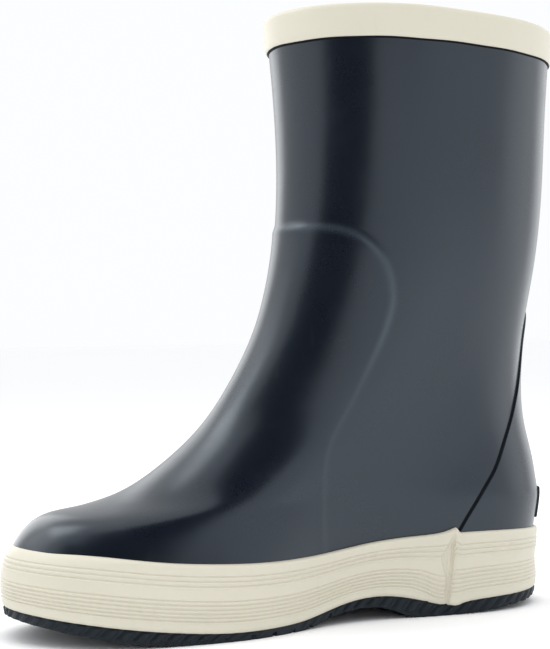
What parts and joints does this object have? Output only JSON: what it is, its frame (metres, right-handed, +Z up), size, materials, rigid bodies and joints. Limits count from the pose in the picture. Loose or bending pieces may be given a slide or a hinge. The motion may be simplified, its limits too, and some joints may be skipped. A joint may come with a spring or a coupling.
{
  "type": "deck boot",
  "caption": "Mid-calf rubber deck boot for a right foot: smooth leg and vamp, folded top binding, ribbed sole band, low-heeled grooved outsole, knitted lining and a loose footbed.",
  "frame": {"origin": "middle of the boot's box, on the surface it stands on", "axes": "+Z up the leg, -Y towards the toe, +X towards the inner (medial) side of the foot"},
  "size_m": [0.0948, 0.2334, 0.2381],
  "materials": {
    "leg_rubber": "satin, smooth",
    "trim_rubber": "satin, cream",
    "outsole_rubber": "matt",
    "canvas": "rubbered canvas",
    "stiffener": "stiff rubbered felt",
    "lining_knit": "knitted cotton",
    "board": "fibre board",
    "shank_steel": "spring steel",
    "sponge": "sponge rubber",
    "footbed_foam": "felted foam",
    "footbed_cloth": "woven cover"
  },
  "bodies": {
    "boot": {"outer_shell": "leg_rubber", "heel_counter": "leg_rubber", "heel_patch": "leg_rubber", "top_binding": "trim_rubber", "foxing_band": "trim_rubber", "outsole": "outsole_rubber", "leg_canvas": "canvas", "vamp_reinforcement": "canvas", "toe_puff": "stiffener", "heel_stiffener": "stiffener", "sock_lining": "lining_knit", "insole_board": "board", "shank": "shank_steel", "heel_filler": "sponge", "forefoot_filler": "sponge"},
    "footbed": {"footbed_foam": "footbed_foam", "footbed_cover": "footbed_cloth"}
  },
  "joints": [
    {"name": "footbed_lift", "type": "hinge", "parent": "boot", "child": "footbed", "pos_m": [0, -0.1072, 0.0245], "axis": [1, 0, 0], "range_deg": [0, 7]}
  ]
}
